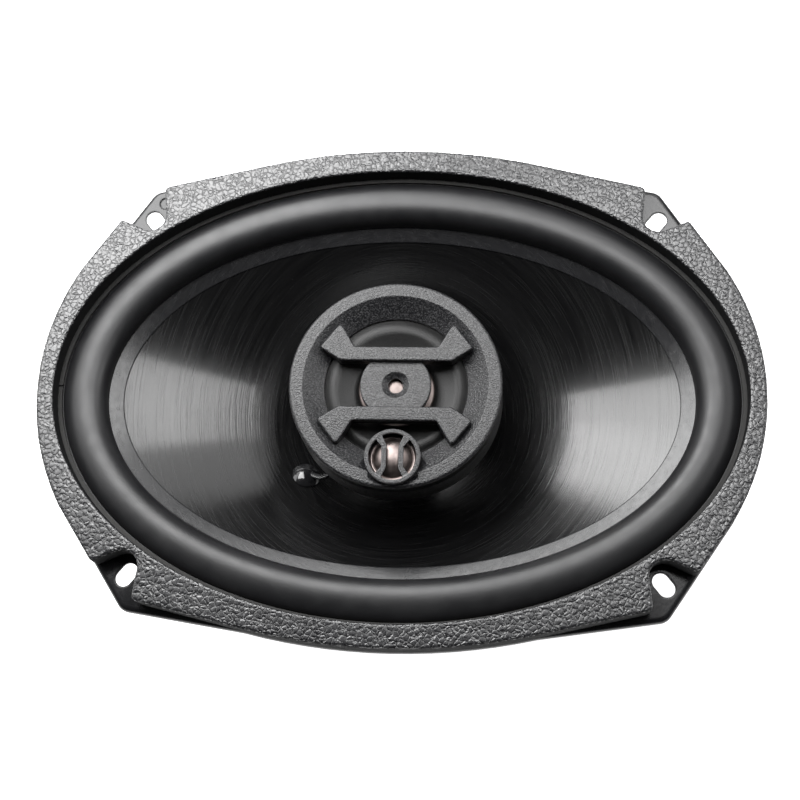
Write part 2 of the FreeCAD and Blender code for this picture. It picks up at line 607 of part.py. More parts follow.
def leads(cone, cup, blades, bowl_space):
    """Glue domes on the cone, the leads behind the cone, and the leads to the module."""
    domes = []
    for side, lug in zip((1, -1), blades):
        x, y = EYELET[0], EYELET[1] * side
        z = cone_height(x, y)
        ball = Part.makeSphere(6.3, vec(x - 1.7, y + 1.8 * side, z - 3.3))
        domes.append(ball.common(bowl_space))
        name = "upper" if side > 0 else "lower"
        rear = [(px, py * side, pz) for px, py, pz in REAR_LEAD]
        save(name + "_rear_lead", cord(name + "_rear_lead", rear, 1.2).cut(cone).cut(lug))
        front = [(px, py * side, pz) for px, py, pz in FRONT_LEAD]
        save(name + "_module_lead", cord(name + "_module_lead", front, 2.0).cut(domes[-1]).cut(cup))
    save("lead_glue_domes", *domes)


def capacitors():
    """Crossover capacitors beside the midrange magnet."""
    for name, angle, radius in (("midrange_capacitor", 35, 4.0), ("tweeter_capacitor", 205, 3.15)):
        can = rod(radius, -CAPACITOR_LENGTH / 2, CAPACITOR_LENGTH / 2)
        ends = [edge for edge in can.Edges if edge.BoundBox.ZLength < 0.01]
        can = can.makeFillet(0.6, ends)
        can.rotate(vec(0, 0), vec(1, 0), 90)
        reach = math.hypot(CAPACITOR_R, CAPACITOR_LENGTH / 2)
        height = CUP_BOTTOM_Z + 2 + (radius + 0.75 * (reach - 23.1)) / 0.662
        can.translate(vec(CAPACITOR_R, 0, height))
        can.rotate(vec(0, 0), vec(0, 0, 1), angle)
        save(name, can)


os.makedirs("parts", exist_ok=True)
rivet_holes = motor()
save("basket", basket(rivet_holes))
save("front_gasket", gasket())
save("surround_clamp_ring", clamp_ring())
save("surround", surround())
cone = woofer_cone()
save("woofer_cone", cone)
save("spider", spider())
save("voice_coil_former", tube(FORMER_OUT, FORMER_IN, COIL_Z[0] - 1.0, CONE_NECK_Z + 1.5))
save("voice_coil_winding", tube(COIL_R, FORMER_OUT, *COIL_Z))
trim_ring, cup = module_shells()
save("module_trim_ring", trim_ring)
save("module_cup", cup)
save("midrange_grille", midrange_grille())
midrange()
tweeter()
post()
blades = terminals()
capacitors()
wires = [Part.Wire([oval(*ring)]) for ring in cone_rings(0)]
leads(cone, cup, blades, Part.makeLoft(wires, True, True))
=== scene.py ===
import json
import math

import bmesh
import bpy
import numpy as np
from mathutils import Matrix, Vector


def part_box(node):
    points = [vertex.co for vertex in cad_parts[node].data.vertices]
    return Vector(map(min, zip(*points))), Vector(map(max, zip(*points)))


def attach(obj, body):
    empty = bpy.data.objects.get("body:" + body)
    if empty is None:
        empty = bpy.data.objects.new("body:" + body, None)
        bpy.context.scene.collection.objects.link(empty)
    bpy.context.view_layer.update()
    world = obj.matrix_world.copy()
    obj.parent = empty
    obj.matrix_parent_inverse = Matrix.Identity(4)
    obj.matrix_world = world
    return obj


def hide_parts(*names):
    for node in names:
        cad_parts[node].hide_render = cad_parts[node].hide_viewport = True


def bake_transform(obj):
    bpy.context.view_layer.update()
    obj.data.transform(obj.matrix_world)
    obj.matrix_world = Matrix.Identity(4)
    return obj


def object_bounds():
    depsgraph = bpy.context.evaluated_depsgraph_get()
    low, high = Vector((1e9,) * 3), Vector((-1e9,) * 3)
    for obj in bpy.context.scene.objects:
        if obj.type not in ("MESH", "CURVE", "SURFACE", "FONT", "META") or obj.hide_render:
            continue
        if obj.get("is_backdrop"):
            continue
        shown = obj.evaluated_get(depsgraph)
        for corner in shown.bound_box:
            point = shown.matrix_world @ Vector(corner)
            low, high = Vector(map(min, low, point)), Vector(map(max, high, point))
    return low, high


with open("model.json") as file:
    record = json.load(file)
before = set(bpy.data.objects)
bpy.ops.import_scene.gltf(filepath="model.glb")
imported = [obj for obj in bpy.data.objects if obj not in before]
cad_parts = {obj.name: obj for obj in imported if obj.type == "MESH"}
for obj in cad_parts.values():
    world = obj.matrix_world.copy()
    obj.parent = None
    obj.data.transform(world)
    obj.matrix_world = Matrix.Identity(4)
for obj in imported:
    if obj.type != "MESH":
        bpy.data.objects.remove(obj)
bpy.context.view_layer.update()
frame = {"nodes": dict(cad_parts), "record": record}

NODES = frame["nodes"]
MM = 0.001

# ---- driving sizes, in millimetres, as in the CAD model ----
ROLL_OUT = (110.5, 74.3)
ROLL_IN = (96.4, 60.4)
ROLL_HEIGHT, ROLL_LEAN = 6.0, 1.3
ROLL_FOOT_Z, LIP_TOP_Z = 3.5, -0.7
SURROUND_SHEET = 0.7
SURROUND_FLAT = (114.2, 77.9)
CONE_EDGE = (91.8, 55.7)
CONE_EDGE_Z, CONE_NECK_Z = -2.6, -33.0
CONE_NECK_R, CONE_SHEET, CONE_FLARE = 13.0, 0.9, 0.92
CONE_STEP = 0.4
SPIDER_IN, SPIDER_OUT, SPIDER_Z = 13.0, 47.0, -40.5
SPIDER_PITCH, SPIDER_SWING, SPIDER_START, SPIDER_WAVES = 3.5, 0.9, 17.5, 7
MODULE_R, MODULE_TOP, MODULE_FLAT_R = 34.2, 14.9, 29.8
SLOPE_R, SLOPE_Z = 23.1, 10.9
BAR_FOOT_Z, BAR_TOP = 11.4, 15.4
DISC_R, DISC_TOP, DISC_HOLE_R, DISC_SINK_R = 11.4, 13.6, 2.45, 4.4
MID_NECK, MID_RIM, MID_SHEET = (9.95, 6.6), (22.6, 10.5), 0.5
MID_EDGE_LOW, MID_EDGE_HIGH, MID_EDGE_R = 9.9, 10.15, 27.5
MID_DOME_R, MID_DOME_RISE = 12.3, 3.4
POD, POD_R, POD_RING_Z, POD_TOP = (0.0, -24.4), 8.9, 16.2, 17.2
TWEETER_R, TWEETER_RISE, TWEETER_Z = 6.35, 1.9, 13.8
FOIL = 0.25
GRAIN_DEPTH = 0.12
FRONT_LEAD = [(-30.0, 21.6, -19.0), (-27.7, 23.5, -15.8), (-24.3, 24.0, -12.8), (-21.7, 22.0, -10.4),
              (-20.6, 19.9, -8.3)]
REAR_LEAD = [(-63.2, 8.0, -37.4), (-60.5, 10.5, -34.0), (-56.0, 14.5, -30.5), (-49.0, 18.0, -28.5),
             (-41.0, 20.5, -27.5), (-35.0, 21.8, -25.5), (-31.6, 22.1, -21.6)]


# ---------------------------------------------------------------- node trees

class Graph:
    """Short calls for building a shader or geometry node tree."""

    def __init__(self, tree):
        self.tree = tree

    def join(self, value, socket):
        """Links a socket, or sets a plain value."""
        if isinstance(value, bpy.types.NodeSocket):
            self.tree.links.new(value, socket)
        else:
            socket.default_value = value

    def node(self, kind, inputs=None, **settings):
        """Adds a node, with its settings and its inputs."""
        made = self.tree.nodes.new(kind)
        for key, value in settings.items():
            setattr(made, key, value)
        for key, value in (inputs or {}).items():
            self.join(value, made.inputs[key])
        return made

    def noise(self, place, scale, detail=2.0, rough=0.5, distortion=0.0):
        inputs = {"Vector": place, "Scale": scale, "Detail": detail, "Roughness": rough,
                  "Distortion": distortion}
        return self.node("ShaderNodeTexNoise", inputs).outputs[0]

    def cells(self, place, scale, feature="F1"):
        """Distance in a pattern of random cells."""
        inputs = {"Vector": place, "Scale": scale}
        return self.node("ShaderNodeTexVoronoi", inputs, feature=feature).outputs[0]

    def sum(self, operation, *values):
        """One step of arithmetic."""
        return self.node("ShaderNodeMath", dict(enumerate(values)), operation=operation).outputs[0]

    def vector(self, operation, *values):
        """One step of vector arithmetic."""
        made = self.node("ShaderNodeVectorMath", dict(enumerate(values)), operation=operation)
        return made.outputs["Value" if operation in ("LENGTH", "DOT_PRODUCT") else "Vector"]

    def stretch(self, place, factors):
        return self.vector("MULTIPLY", place, factors)

    def remap(self, value, low, high, to_low=0.0, to_high=1.0, smooth=False):
        """Carries the range low to high over to the range to_low to to_high."""
        inputs = {"Value": value, "From Min": low, "From Max": high, "To Min": to_low, "To Max": to_high}
        kind = "SMOOTHSTEP" if smooth else "LINEAR"
        return self.node("ShaderNodeMapRange", inputs, interpolation_type=kind).outputs[0]


class Finish(Graph):
    """A procedural material around one Principled shader."""

    def __init__(self, name, **sockets):
        self.material = bpy.data.materials.new(name)
        self.material.use_nodes = True
        super().__init__(self.material.node_tree)
        self.shader = self.tree.nodes["Principled BSDF"]
        for key, value in sockets.items():
            self.set(key.replace("_", " "), value)
        self.place = self.node("ShaderNodeTexCoord").outputs["Object"]
        self.normal = None

    def set(self, key, value):
        """Sets or links one input of the surface shader."""
        self.join(value, self.shader.inputs[key])

    def ramp(self, value, *stops):
        """Colour ramp through (position, colour) stops."""
        made = self.node("ShaderNodeValToRGB", {"Fac": value})
        ramp = made.color_ramp
        while len(ramp.elements) < len(stops):
            ramp.elements.new(0.5)
        for element, (position, colour) in zip(ramp.elements, stops):
            element.position = position
            element.color = (*colour, 1.0)
        return made.outputs["Color"]

    def round_edges(self, radius):
        """Rounds the shading of sharp edges, and returns a mask of where they are."""
        soft = self.node("ShaderNodeBevel", {"Radius": radius * MM}, samples=6).outputs[0]
        hard = self.node("ShaderNodeNewGeometry").outputs["Normal"]
        self.normal = soft
        return self.remap(self.vector("DOT_PRODUCT", soft, hard), 0.90, 0.995, 1.0, 0.0)

    def bump(self, height, millimetres, strength=1.0):
        """Adds a bump on top of those before it."""
        inputs = {"Height": height, "Distance": millimetres * MM, "Strength": strength}
        if self.normal is not None:
            inputs["Normal"] = self.normal
        self.normal = self.node("ShaderNodeBump", inputs).outputs["Normal"]
        self.set("Normal", self.normal)

    def polar(self, turns=1.0):
        """Object place as (millimetres out, cosine, sine), for marks that run round the axis."""
        split = self.node("ShaderNodeSeparateXYZ", {0: self.place})
        flat = self.vector("MULTIPLY", self.place, (1.0, 1.0, 0.0))
        radius = self.vector("LENGTH", flat)
        angle = self.sum("ARCTAN2", split.outputs[1], split.outputs[0])
        cosine = self.sum("MULTIPLY", self.sum("COSINE", angle), turns)
        sine = self.sum("MULTIPLY", self.sum("SINE", angle), turns)
        reach = self.sum("MULTIPLY", radius, 1 / MM)
        return self.node("ShaderNodeCombineXYZ", {0: reach, 1: cosine, 2: sine}).outputs[0]


def pebble_height(graph, place, depth):
    """Leather grain: flat cells with thin broken lines between them, in metres, never above 0."""
    sway = 1.1 * MM
    clouds = {"Vector": place, "Scale": 420.0, "Detail": 2.0}
    drift = graph.node("ShaderNodeTexNoise", clouds).outputs["Color"]
    drift = graph.vector("SUBTRACT", drift, (0.5, 0.5, 0.5))
    place = graph.vector("ADD", place, graph.stretch(drift, (sway, sway, sway)))
    gaps = graph.cells(place, 640.0, "DISTANCE_TO_EDGE")
    line = graph.remap(gaps, 0.02, 0.17, -depth * MM, 0.0, smooth=True)
    kept = graph.remap(graph.noise(place, 520.0, 1.0), 0.34, 0.52, 0.3, 1.0)
    return graph.sum("MULTIPLY", line, kept)


# ---------------------------------------------------------------- materials

def painted_steel():
    """Gloss black stove enamel over pressed steel."""
    f = Finish("painted_steel", IOR=1.5)
    edge = f.round_edges(0.8)
    mottle = f.noise(f.place, 60.0, 4.0)
    worn = f.sum("MULTIPLY", edge, f.remap(f.noise(f.place, 400.0, 3.0), 0.52, 0.7))
    f.set("Base Color", f.ramp(worn, (0.0, (0.010, 0.010, 0.011)), (1.0, (0.06, 0.06, 0.06))))
    f.set("Roughness", f.remap(mottle, 0.3, 0.7, 0.16, 0.30))
    f.bump(f.noise(f.place, 650.0, 1.0), 0.05, 0.35)
    f.bump(f.noise(f.place, 5200.0, 2.0), 0.006, 0.5)
    return f.material


def pebbled_rubber():
    """Embossed gasket rubber; the grain's depth is in the mesh too."""
    f = Finish("pebbled_rubber", IOR=1.78)
    height = pebble_height(f, f.place, GRAIN_DEPTH)
    # painted shade: base colour darker down in the grain's grooves, with random patches of tone on top
    depth = f.remap(height, -GRAIN_DEPTH * MM, 0.0)
    patch = f.noise(f.place, 90.0, 3.0)
    tone = f.sum("ADD", f.sum("MULTIPLY", depth, 0.75), f.sum("MULTIPLY", patch, 0.25))
    f.set("Base Color", f.ramp(tone, (0.1, (0.005, 0.005, 0.006)), (0.95, (0.016, 0.016, 0.018))))
    f.set("Roughness", f.remap(f.noise(f.place, 700.0, 3.0), 0.3, 0.7, 0.24, 0.36))
    f.bump(height, 1000.0, 1.0)
    f.bump(f.noise(f.place, 3600.0, 2.0), 0.008, 0.5)
    return f.material


def cut_rubber():
    """The gasket's cut sides, dull and a little torn."""
    f = Finish("cut_rubber", IOR=1.25)
    torn = f.noise(f.stretch(f.place, (1.0, 1.0, 0.4)), 1300.0, 4.0, 0.65)
    f.set("Base Color", f.ramp(torn, (0.3, (0.004, 0.004, 0.004)), (0.7, (0.014, 0.014, 0.015))))
    f.set("Roughness", f.remap(torn, 0.3, 0.7, 0.75, 0.95))
    f.bump(torn, 0.12, 0.7)
    return f.material


def fibre_card():
    """Black card with matted fibres."""
    f = Finish("fibre_card", IOR=1.45)
    fibres = f.noise(f.stretch(f.place, (1.0, 0.25, 1.0)), 2600.0, 4.0)
    f.set("Base Color", f.ramp(fibres, (0.3, (0.016, 0.016, 0.016)), (0.75, (0.045, 0.044, 0.042))))
    f.set("Roughness", f.remap(fibres, 0.3, 0.7, 0.62, 0.9))
    f.bump(fibres, 0.06, 0.7)
    return f.material


def roll_rubber():
    """Moulded butyl rubber with a satin skin and a little dust."""
    f = Finish("roll_rubber", IOR=1.6)
    dust = f.remap(f.noise(f.place, 55.0, 5.0, 0.6), 0.45, 0.75)
    f.set("Base Color", f.ramp(dust, (0.0, (0.007, 0.007, 0.008)), (1.0, (0.013, 0.013, 0.014))))
    f.set("Roughness", f.remap(f.noise(f.place, 240.0, 4.0), 0.3, 0.7, 0.40, 0.48))
    f.bump(f.noise(f.place, 2600.0, 3.0), 0.03, 0.6)
    f.bump(f.noise(f.place, 300.0, 2.0), 0.05, 0.25)
    return f.material


def lip_rubber():
    """The surround's flat lip, with a fine grain that runs round it."""
    f = Finish("lip_rubber", IOR=1.5)
    grain = f.noise(f.stretch(f.polar(9.0), (1.6, 1.0, 1.0)), 1.0, 4.0, 0.65)
    f.set("Base Color", f.ramp(grain, (0.3, (0.008, 0.008, 0.009)), (0.7, (0.016, 0.016, 0.017))))
    f.set("Roughness", f.remap(f.noise(f.place, 500.0, 3.0), 0.3, 0.7, 0.20, 0.28))
    f.bump(grain, 0.03, 0.6)
    return f.material


def cone_plastic():
    """Glossy black plastic with fine turned lines."""
    f = Finish("cone_plastic", IOR=1.41, Coat_Weight=0.45, Coat_Roughness=0.10)
    rings = f.polar(1.6)
    fine = f.noise(f.stretch(rings, (2.3, 1.6, 1.6)), 1.0, 3.0, 0.6)
    wide = f.noise(f.stretch(rings, (0.5, 0.7, 0.7)), 1.0, 2.0)
    smudge = f.noise(f.place, 38.0, 4.0, 0.6)
    specks = f.remap(f.cells(f.place, 320.0), 0.0, 0.045, 1.0, 0.0)
    tone = f.sum("MAXIMUM", specks, f.remap(fine, 0.35, 0.65, 0.0, 0.05))
    f.set("Base Color", f.ramp(tone, (0.0, (0.002, 0.002, 0.0022)), (1.0, (0.06, 0.06, 0.06))))
    rough = f.sum("ADD", f.remap(smudge, 0.35, 0.7, 0.20, 0.25), f.remap(fine, 0.3, 0.7, -0.04, 0.08))
    f.set("Roughness", rough)
    f.bump(fine, 0.032, 1.0)
    f.bump(wide, 0.05, 0.3)
    f.set("Coat Normal", f.normal)
    return f.material


def weave(f, pitch):
    """Height of a plain weave at a pitch in millimetres."""
    split = f.node("ShaderNodeSeparateXYZ", {0: f.place})
    turn = math.pi / (pitch * MM)
    u = f.sum("SINE", f.sum("MULTIPLY", split.outputs[0], turn))
    v = f.sum("SINE", f.sum("MULTIPLY", split.outputs[1], turn))
    over = f.sum("MULTIPLY", u, v)
    ridges = f.sum("MAXIMUM", f.sum("ABSOLUTE", u), f.sum("ABSOLUTE", v))
    return f.sum("ADD", f.sum("MULTIPLY", ridges, 0.6), f.sum("MULTIPLY", over, 0.4))


def spider_cloth():
    """Woven cloth stiffened with yellow resin."""
    f = Finish("spider_cloth", IOR=1.5, Sheen_Weight=0.25)
    threads = weave(f, 0.42)
    stain = f.noise(f.place, 120.0, 4.0)
    f.set("Base Color", f.ramp(f.sum("MULTIPLY", threads, stain), (0.0, (0.20, 0.12, 0.03)),
                               (0.35, (0.52, 0.36, 0.13)), (0.8, (0.66, 0.50, 0.22))))
    f.set("Roughness", f.remap(stain, 0.3, 0.7, 0.6, 0.85))
    f.bump(threads, 0.12, 0.8)
    return f.material


def module_plastic():
    """Moulded plastic with a fine spark-eroded grain; its grain peaks are painted paler as painted glints,
    and its edges paler as painted edge highlights.
    """
    f = Finish("module_plastic", IOR=1.51)
    edge = f.round_edges(0.45)
    grain = f.noise(f.place, 2100.0, 1.0, 0.5)
    # painted glints: base colour paler on the grain's peaks
    painted_peak_glints = f.remap(grain, 0.45, 0.70, 0.0, 0.20)
    # painted edge highlights: base colour paler along the edges, joined with the painted glints on the
    # peaks
    painted_edge_highlights_and_glints = f.sum("MAXIMUM", painted_peak_glints, f.sum("MULTIPLY", edge, f.remap(grain, 0.3, 0.7, 0.5, 1.0)))
    f.set("Base Color", f.ramp(painted_edge_highlights_and_glints, (0.0, (0.005, 0.005, 0.006)), (1.0, (0.24, 0.24, 0.245))))
    f.set("Roughness", f.remap(f.noise(f.place, 800.0, 4.0), 0.3, 0.7, 0.27, 0.37))
    f.bump(grain, 0.16, 1.0)
    f.bump(f.noise(f.place, 6400.0, 2.0), 0.03, 0.5)
    return f.material


def metal(name, colour, dull, rough, stroke):
    """Plated or bare metal with fine scratches, stains and brighter edges."""
    f = Finish(name, Metallic=1.0)
    edge = f.round_edges(0.25)
    stain = f.noise(f.place, 85.0, 5.0, 0.6)
    lines = f.noise(f.stretch(f.place, stroke), 1400.0, 3.0, 0.6)
    tone = f.sum("ADD", f.sum("MULTIPLY", stain, 0.8), f.sum("MULTIPLY", edge, 0.35))
    f.set("Base Color", f.ramp(tone, (0.25, dull), (0.75, colour)))
    tarnish = f.remap(stain, 0.3, 0.7, rough, rough + 0.14)
    f.set("Roughness", f.sum("ADD", tarnish, f.sum("MULTIPLY", lines, 0.08)))
    f.bump(lines, 0.02, 0.5)
    return f.material


def ferrite():
    """Ground ceramic magnet: dark, dull, speckled and chipped a little at its edges."""
    f = Finish("ferrite", IOR=1.9)
    edge = f.round_edges(0.5)
    specks = f.noise(f.place, 1900.0, 4.0, 0.7)
    chips = f.sum("MULTIPLY", edge, f.remap(f.cells(f.place, 520.0), 0.1, 0.45, 1.0, 0.0))
    tone = f.sum("ADD", specks, f.sum("MULTIPLY", chips, 0.35))
    f.set("Base Color", f.ramp(tone, (0.3, (0.030, 0.030, 0.033)), (0.62, (0.060, 0.060, 0.064)),
                               (0.95, (0.13, 0.13, 0.135))))
    f.set("Roughness", f.remap(f.noise(f.place, 130.0, 4.0), 0.3, 0.7, 0.42, 0.66))
    f.bump(specks, 0.06, 0.6)
    f.bump(chips, 0.25, 0.5)
    return f.material


def copper_wire():
    """Enamelled wire laid turn beside turn."""
    f = Finish("copper_wire", Metallic=1.0, Coat_Weight=0.4, Coat_Roughness=0.12)
    split = f.node("ShaderNodeSeparateXYZ", {0: f.place})
    wire = 0.28 * MM
    turns = f.sum("ABSOLUTE", f.sum("SINE", f.sum("MULTIPLY", split.outputs[2], math.pi / wire)))
    # painted shade: base colour dark brown in the gaps between the turns, copper on their crowns
    f.set("Base Color", f.ramp(turns, (0.0, (0.16, 0.05, 0.02)), (0.6, (0.66, 0.28, 0.12)),
                               (1.0, (0.80, 0.38, 0.19))))
    f.set("Roughness", f.remap(f.noise(f.place, 500.0), 0.3, 0.7, 0.22, 0.36))
    f.bump(turns, 0.1, 0.8)
    return f.material


def glue():
    """Rubbery black glue that set with a glossy skin."""
    f = Finish("glue", IOR=1.52, Coat_Weight=0.5, Coat_Roughness=0.05)
    lumps = f.noise(f.place, 260.0, 2.0)
    f.set("Base Color", f.ramp(lumps, (0.3, (0.006, 0.006, 0.007)), (0.7, (0.014, 0.014, 0.015))))
    f.set("Roughness", f.remap(lumps, 0.3, 0.7, 0.08, 0.18))
    f.bump(lumps, 0.35, 0.4)
    return f.material


def lead_braid():
    """Black sleeving over a stranded lead."""
    f = Finish("lead_braid", IOR=1.6)
    strands = f.noise(f.place, 2600.0, 2.0)
    f.set("Base Color", f.ramp(strands, (0.3, (0.007, 0.007, 0.008)), (0.7, (0.028, 0.028, 0.03))))
    f.set("Roughness", f.remap(strands, 0.3, 0.7, 0.14, 0.30))
    f.bump(strands, 0.05, 0.5)
    return f.material


def tinsel_wire():
    """Bare copper tinsel, tarnished between its strands."""
    f = Finish("tinsel_wire", Metallic=0.85)
    strands = f.noise(f.place, 3000.0, 2.0)
    f.set("Base Color", f.ramp(strands, (0.3, (0.30, 0.14, 0.07)), (0.7, (0.72, 0.46, 0.30))))
    f.set("Roughness", f.remap(strands, 0.3, 0.7, 0.28, 0.5))
    f.bump(strands, 0.05, 0.6)
    return f.material


def terminal_card():
    """Pressed brown terminal board with cut fibres in its edge."""
    f = Finish("terminal_card", IOR=1.5)
    edge = f.round_edges(0.2)
    fibres = f.noise(f.stretch(f.place, (1.0, 0.3, 3.0)), 1500.0, 4.0)
    tone = f.sum("ADD", fibres, f.sum("MULTIPLY", edge, 0.3))
    f.set("Base Color", f.ramp(tone, (0.3, (0.10, 0.042, 0.016)), (0.6, (0.19, 0.085, 0.034)),
                               (0.95, (0.36, 0.20, 0.10))))
    f.set("Roughness", f.remap(fibres, 0.3, 0.7, 0.34, 0.5))
    f.bump(fibres, 0.04, 0.5)
    return f.material


def paper_cone():
    """Pressed felted paper, matted fibres."""
    f = Finish("paper_cone", IOR=1.38)
    fibres = f.noise(f.place, 1500.0, 5.0, 0.7, 0.8)
    f.set("Base Color", f.ramp(fibres, (0.3, (0.002, 0.002, 0.002)), (0.7, (0.010, 0.010, 0.010))))
    f.set("Roughness", f.remap(fibres, 0.3, 0.7, 0.34, 0.46))
    f.bump(fibres, 0.08, 0.7)
    return f.material


def doped_cloth():
    """Matt treated cloth of the midrange's edge."""
    f = Finish("doped_cloth", IOR=1.3)
    grain = f.noise(f.place, 1800.0, 3.0)
    f.set("Base Color", f.ramp(grain, (0.3, (0.003, 0.003, 0.003)), (0.7, (0.009, 0.009, 0.009))))
    f.set("Roughness", f.remap(grain, 0.3, 0.7, 0.48, 0.62))
    f.bump(grain, 0.06, 0.7)
    return f.material


def rose_foil():
    """Vacuum-metallised film with a faint rose tint."""
    f = Finish("rose_foil", Metallic=1.0)
    haze = f.noise(f.place, 600.0, 4.0)
    f.set("Base Color", f.ramp(haze, (0.3, (0.17, 0.14, 0.132)), (0.7, (0.23, 0.195, 0.185))))
    f.set("Roughness", f.remap(haze, 0.3, 0.7, 0.32, 0.40))
    f.bump(f.noise(f.place, 1500.0, 2.0), 0.012, 0.5)
    return f.material


def capacitor_sleeve():
    """Dark blue shrunk sleeve, faintly wrinkled."""
    f = Finish("capacitor_sleeve", IOR=1.5)
    edge = f.round_edges(0.3)
    shrink = f.noise(f.stretch(f.place, (1.0, 1.0, 3.0)), 500.0, 3.0)
    tone = f.sum("ADD", shrink, edge)
    f.set("Base Color", f.ramp(tone, (0.3, (0.008, 0.018, 0.07)), (0.8, (0.02, 0.04, 0.14))))
    f.set("Roughness", f.remap(shrink, 0.3, 0.7, 0.2, 0.34))
    f.bump(shrink, 0.05, 0.4)
    return f.material


def paint_cad_nodes(slots):
    """Gives every CAD node the finish that its material slot names."""
    for row in frame["record"]["subparts"]:
        mesh = NODES[row["node"]].data
        mesh.materials.clear()
        mesh.materials.append(slots[row["material_slot"]])


# ---------------------------------------------------------------- mesh helpers

def mesh_object(name, points, faces, *materials):
    """A smooth-shaded object from points in metres."""
    mesh = bpy.data.meshes.new(name)
    mesh.from_pydata([tuple(p) for p in points], [], faces)
    mesh.validate()
    mesh.update()
    mesh.shade_smooth()
    made = bpy.data.objects.new(name, mesh)
    bpy.context.scene.collection.objects.link(made)
    for material in materials:
        mesh.materials.append(material)
    return made


def swept_faces(turns, count):
    """Faces between closed sections of count points that repeat round a full turn."""
    faces = []
    for turn in range(turns):
        one, two = turn * count, (turn + 1) % turns * count
        for index in range(count):
            after = (index + 1) % count
            faces.append((one + index, two + index, two + after, one + after))
    return faces


def cleaned(piece):
    """Welds points that coincide, and turns every face outwards."""
    work = bmesh.new()
    work.from_mesh(piece.data)
    bmesh.ops.remove_doubles(work, verts=work.verts, dist=1e-7)
    bmesh.ops.dissolve_degenerate(work, edges=work.edges, dist=1e-8)
    bmesh.ops.recalc_face_normals(work, faces=work.faces)
    work.to_mesh(piece.data)
    work.free()
    piece.data.shade_smooth()


def rounded(corners, steps=5, holding=0.12):
    """Closed section with its corners filleted; a corner is (x, z, radius) in millimetres."""
    section = []
    count = len(corners)
    for index, (x, z, radius) in enumerate(corners):
        here = Vector((x, z))
        if radius == 0:
            section.append(here)
            continue
        back = Vector(corners[index - 1][:2]) - here
        on = Vector(corners[(index + 1) % count][:2]) - here
        half = back.angle(on) / 2
        reach = min(radius / math.tan(half), 0.45 * back.length, 0.45 * on.length)
        size = reach * math.tan(half)
        centre = here + (back.normalized() + on.normalized()).normalized() * (size / math.sin(half))
        first = here + back.normalized() * reach - centre
        last = here + on.normalized() * reach - centre
        if holding:
            section.append(centre + first + back.normalized() * holding * reach)
        for step in range(steps + 1):
            section.append(centre + first.normalized().slerp(last.normalized(), step / steps) * size)
        if holding:
            section.append(centre + last + on.normalized() * holding * reach)
    return section


def lathe(name, section, material, centre=(0.0, 0.0), segments=192):
    """Solid of revolution from a closed section of (radius, z) in millimetres."""
    points = []
    for turn in range(segments):
        angle = 2 * math.pi * turn / segments
        for radius, z in section:
            x = centre[0] + radius * math.cos(angle)
            y = centre[1] + radius * math.sin(angle)
            points.append((x * MM, y * MM, z * MM))
    made = mesh_object(name, points, swept_faces(segments, len(section)), material)
    cleaned(made)
    return made


def oval_loft(name, rings, segments, *materials):
    """Closed-section oval solid from (a, b, z) ovals in millimetres."""
    points = []
    for turn in range(segments):
        angle = 2 * math.pi * turn / segments
        points += [(a * math.cos(angle) * MM, b * math.sin(angle) * MM, z * MM) for a, b, z in rings]
    made = mesh_object(name, points, swept_faces(segments, len(rings)), *materials)
    cleaned(made)
    made.data.set_sharp_from_angle(angle=math.radians(40))
    return made


def settle(piece):
    """Makes the piece's modifiers part of its mesh."""
    graph = bpy.context.evaluated_depsgraph_get()
    mesh = bpy.data.meshes.new_from_object(piece.evaluated_get(graph))
    piece.modifiers.clear()
    piece.data = mesh


def plate(name, outlines, low, high, bevel, material):
    """Flat plates with rounded edges, from closed outlines in millimetres, as one piece."""
    work = bmesh.new()
    for outline in outlines:
        corners = [work.verts.new((x * MM, y * MM, low * MM)) for x, y in outline]
        face = work.faces.new(corners)
        raised = bmesh.ops.extrude_face_region(work, geom=[face])["geom"]
        bmesh.ops.translate(work, vec=(0, 0, (high - low) * MM),
                            verts=[item for item in raised if isinstance(item, bmesh.types.BMVert)])
    bmesh.ops.recalc_face_normals(work, faces=work.faces)
    floor = low * MM + 1e-6
    edges = [edge for edge in work.edges if min(vert.co.z for vert in edge.verts) > floor]
    bmesh.ops.bevel(work, geom=edges, offset=bevel * MM, segments=4, profile=0.5, affect="EDGES")
    wide = [face for face in work.faces if len(face.verts) > 4]
    bmesh.ops.triangulate(work, faces=wide, ngon_method="EAR_CLIP")
    mesh = bpy.data.meshes.new(name)
    work.to_mesh(mesh)
    work.free()
    mesh.shade_smooth()
    mesh.materials.append(material)
    made = bpy.data.objects.new(name, mesh)
    bpy.context.scene.collection.objects.link(made)
    smooth = made.modifiers.new("flat faces", "WEIGHTED_NORMAL")
    smooth.keep_sharp = True
    return made


def join(name, first, *others):
    """Several mesh objects as one piece."""
    work = bmesh.new()
    for source in (first, *others):
        settle(source)
        work.from_mesh(source.data)
    work.to_mesh(first.data)
    work.free()
    first.data.shade_smooth()
    for source in others:
        bpy.data.objects.remove(source)
    first.name = name
    return first


def stand_for(piece, body, node):
    """Puts a detailed piece in the place of a CAD node."""
    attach(piece, body)
    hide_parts(node)


def flex(piece, node, share):
    """A piece between the frame and a moving body: bakes its place into its mesh and hides the CAD node.
    share(x, y) is worked out at every point, and the result is not used.
    """
    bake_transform(piece)
    weights = np.array([share(vert.co.x, vert.co.y) for vert in piece.data.vertices], np.float32)
    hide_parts(node)


def ease(value):
    """Smooth step from 0 to 1."""
    value = min(max(value, 0.0), 1.0)
    return value * value * (3 - 2 * value)


# ---------------------------------------------------------------- pieces

